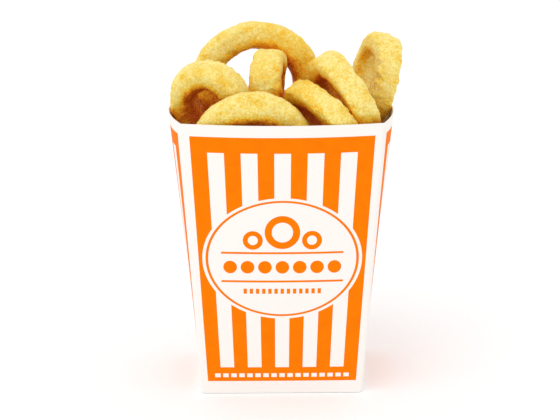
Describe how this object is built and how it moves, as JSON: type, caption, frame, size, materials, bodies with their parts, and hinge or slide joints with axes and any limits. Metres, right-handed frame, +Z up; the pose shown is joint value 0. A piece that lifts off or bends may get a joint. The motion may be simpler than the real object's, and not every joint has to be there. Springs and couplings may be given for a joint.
{
  "type": "carton of onion rings",
  "caption": "Tapered paperboard carton with bowed panels, filled to a heap with battered and fried onion rings that stand above its rim.",
  "frame": {"origin": "middle of the carton's base, on the face it stands on", "axes": "+Z up, out of the carton's mouth; -Y is the carton's front, which the picture shows; +X to the right of it"},
  "size_m": [0.1149, 0.0868, 0.1778],
  "materials": {
    "carton_board": "coated white board with orange fields printed on its outside",
    "fried_crust": "crumbly golden batter, browner along edges and inside the holes",
    "deep_crust": "the same batter, deep in the carton"
  },
  "bodies": {
    "root": {"carton": "carton_board", "rings_below": "deep_crust", "ring_back_arch": "fried_crust", "ring_left": "fried_crust", "ring_front": "fried_crust", "ring_centre_upright": "fried_crust", "ring_front_right": "fried_crust", "ring_right_leaning": "fried_crust", "ring_far_right": "fried_crust", "ring_behind_left": "fried_crust", "ring_behind_right": "fried_crust", "ring_under_left": "fried_crust", "ring_under_right": "fried_crust", "ring_under_front": "fried_crust"}
  },
  "joints": []
}
